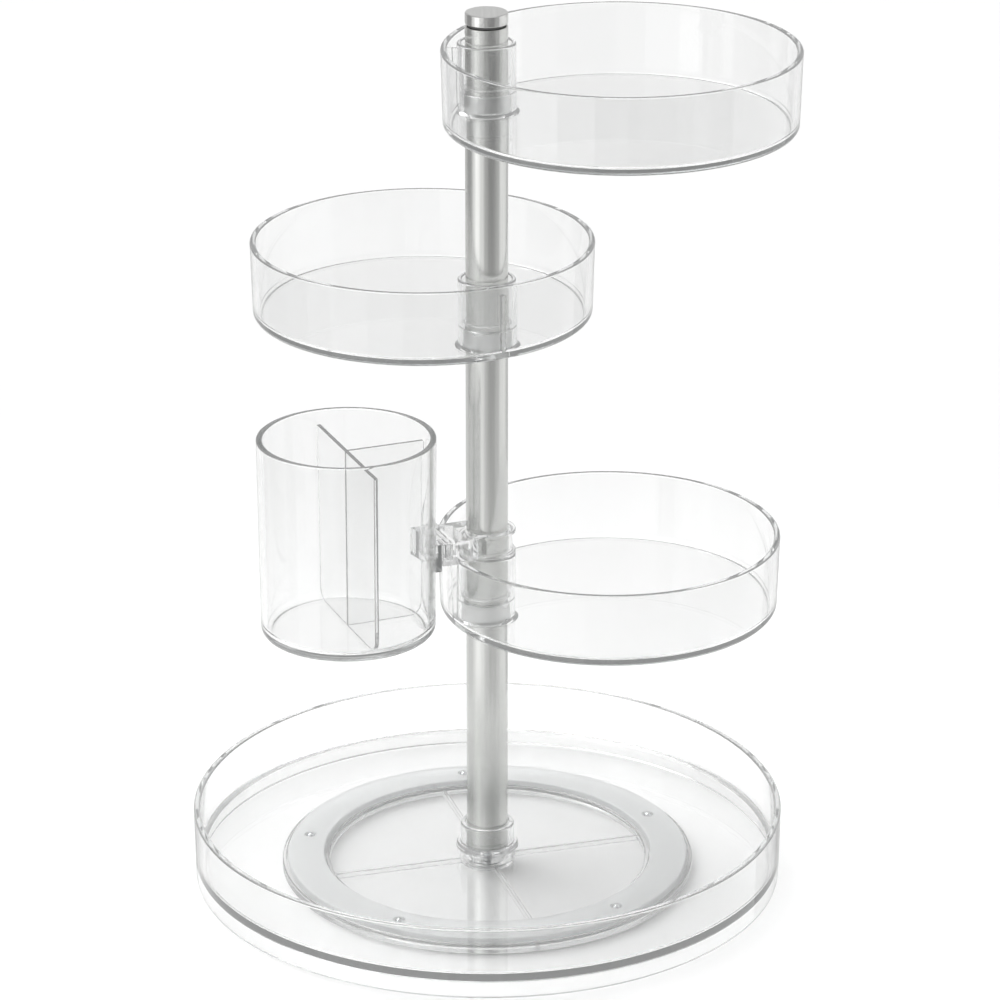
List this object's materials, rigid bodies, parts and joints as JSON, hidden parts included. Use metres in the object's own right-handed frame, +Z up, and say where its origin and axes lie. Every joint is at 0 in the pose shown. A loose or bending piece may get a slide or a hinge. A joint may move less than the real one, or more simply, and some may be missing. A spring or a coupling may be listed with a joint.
{
  "type": "lazy susan turntable",
  "caption": "Tiered lazy susan with a clear round base tray on a ball bearing, a metal pole, swivelling clear side trays and a lift-off divided cup.",
  "frame": {"origin": "on the pole's axis, at the table under the foot pads", "axes": "+Z up along the pole; -Y is the front, towards the viewer; +X is the viewer's right, the side of the top and low trays"},
  "size_m": [0.2931, 0.292, 0.4412],
  "materials": {
    "clear_plastic": "clear moulded styrene, polished",
    "clear_foot": "clear moulded styrene",
    "frosted_plastic": "frosted translucent",
    "rubber": "pale translucent rubber",
    "dark_plastic": "matt dark grey",
    "satin_metal": "satin, fine lengthwise grain",
    "polished_metal": "fine satin, bright edge",
    "collar_metal": "matt",
    "steel": "bright"
  },
  "bodies": {
    "foot": {"foot_ring": "clear_foot", "foot_pad_1": "rubber", "foot_pad_2": "rubber", "foot_pad_3": "rubber", "foot_pad_4": "rubber"},
    "bearing": {"ball_cage": "frosted_plastic", "bearing_ball_1": "steel", "bearing_ball_2": "steel", "bearing_ball_3": "steel", "bearing_ball_4": "steel", "bearing_ball_5": "steel"},
    "turntable": {"base_tray": "clear_plastic", "pivot_washer": "steel", "pivot_screw": "steel", "pole_tube": "satin_metal", "pole_bottom_plug": "dark_plastic", "pole_top_plug": "dark_plastic", "pole_cap": "polished_metal", "stop_collar_top": "collar_metal", "stop_collar_mid": "collar_metal", "stop_collar_low": "collar_metal"},
    "top_tray": {"tray_top": "clear_plastic"},
    "mid_tray": {"tray_mid": "clear_plastic"},
    "low_tray": {"tray_low": "clear_plastic"},
    "arm": {"cup_arm": "clear_plastic"},
    "cup_body": {"cup": "clear_plastic"},
    "divider": {"cup_divider": "clear_plastic"}
  },
  "joints": [
    {"name": "turntable_spin", "type": "hinge", "parent": "foot", "child": "turntable", "pos_m": [0, 0, 0.0066], "axis": [0, 0, 1], "continuous": true},
    {"name": "bearing_roll", "type": "hinge", "parent": "foot", "child": "bearing", "pos_m": [0, 0, 0.0066], "axis": [0, 0, 1], "continuous": true},
    {"name": "top_tray_swivel", "type": "hinge", "parent": "turntable", "child": "top_tray", "pos_m": [0, 0, 0.4032], "axis": [0, 0, 1], "continuous": true},
    {"name": "mid_tray_swivel", "type": "hinge", "parent": "turntable", "child": "mid_tray", "pos_m": [0, 0, 0.2873], "axis": [0, 0, 1], "continuous": true},
    {"name": "low_tray_swivel", "type": "hinge", "parent": "turntable", "child": "low_tray", "pos_m": [0, 0, 0.1466], "axis": [0, 0, 1], "continuous": true},
    {"name": "cup_arm_swivel", "type": "hinge", "parent": "low_tray", "child": "arm", "pos_m": [0, 0, 0.1703], "axis": [0, 0, 1], "range_deg": [-34, 34]},
    {"name": "cup_lift", "type": "slide", "parent": "arm", "child": "cup_body", "axis": [0, 0, 1], "range_m": [0, 0.014]},
    {"name": "divider_lift", "type": "slide", "parent": "cup_body", "child": "divider", "axis": [0, 0, 1], "range_m": [0, 0.024]}
  ],
  "couplings": [
    {"joint": "bearing_roll", "follows": "turntable_spin", "ratio": 0.5}
  ]
}
